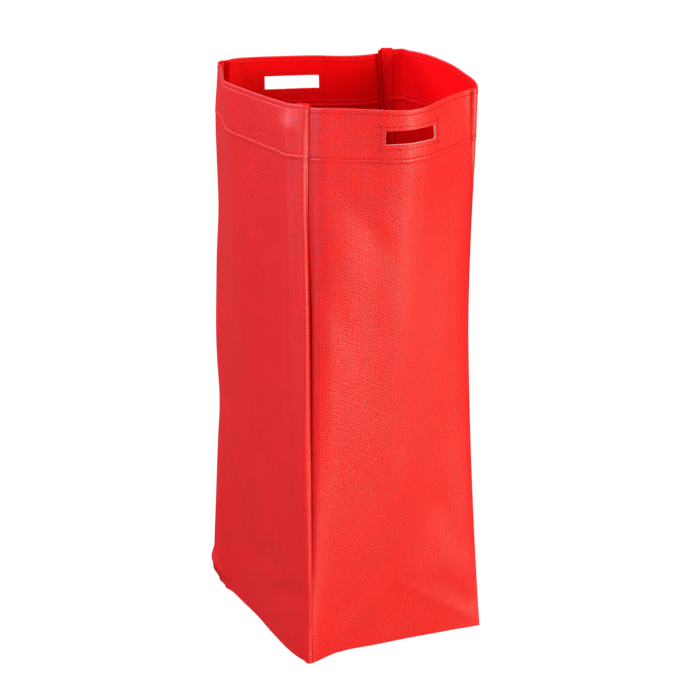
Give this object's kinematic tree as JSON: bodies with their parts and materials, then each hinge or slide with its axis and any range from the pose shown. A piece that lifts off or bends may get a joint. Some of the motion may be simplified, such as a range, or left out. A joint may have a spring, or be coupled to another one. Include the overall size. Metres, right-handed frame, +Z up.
{
  "type": "bottle gift bag",
  "caption": "Tall red cloth gift bag for a wine bottle: square base, open hemmed mouth, and a cut hand slot in the front and back walls.",
  "frame": {"origin": "centre of the square base, on the surface the bag stands on", "axes": "+Z up out of the mouth, -Y out of the front panel with the forward hand slot, +X out of the right gusset"},
  "size_m": [0.1446, 0.157, 0.3562],
  "materials": {
    "outer_cloth": "red polyester Oxford cloth, satin, coated on the inside",
    "hem_cloth": "the same red Oxford cloth, turned in, with its coated side showing",
    "binding_tape": "red woven polyester tape, matte",
    "thread": "red spun polyester sewing thread",
    "base_board": "dark grey extruded board, matte"
  },
  "bodies": {
    "bag": {"back_hem": "hem_cloth", "back_hem_stitching": "thread", "back_left_seam_stitching": "thread", "back_left_seam_tape": "binding_tape", "back_panel": "outer_cloth", "back_right_seam_stitching": "thread", "back_right_seam_tape": "binding_tape", "back_rim_stitching": "thread", "back_slot_stitching": "thread", "base_panel": "outer_cloth", "base_seam_stitching": "thread", "base_seam_tape": "binding_tape", "front_hem": "hem_cloth", "front_hem_stitching": "thread", "front_left_seam_stitching": "thread", "front_left_seam_tape": "binding_tape", "front_panel": "outer_cloth", "front_right_seam_stitching": "thread", "front_right_seam_tape": "binding_tape", "front_rim_stitching": "thread", "front_slot_stitching": "thread", "left_gusset": "outer_cloth", "left_hem": "hem_cloth", "left_hem_stitching": "thread", "left_rim_stitching": "thread", "right_gusset": "outer_cloth", "right_hem": "hem_cloth", "right_hem_stitching": "thread", "right_rim_stitching": "thread"},
    "base_board": {"base_board": "base_board"}
  },
  "joints": [
    {"name": "base_board_lift", "type": "slide", "parent": "bag", "child": "base_board", "axis": [0, 0, 1], "range_m": [0, 0.12]}
  ]
}
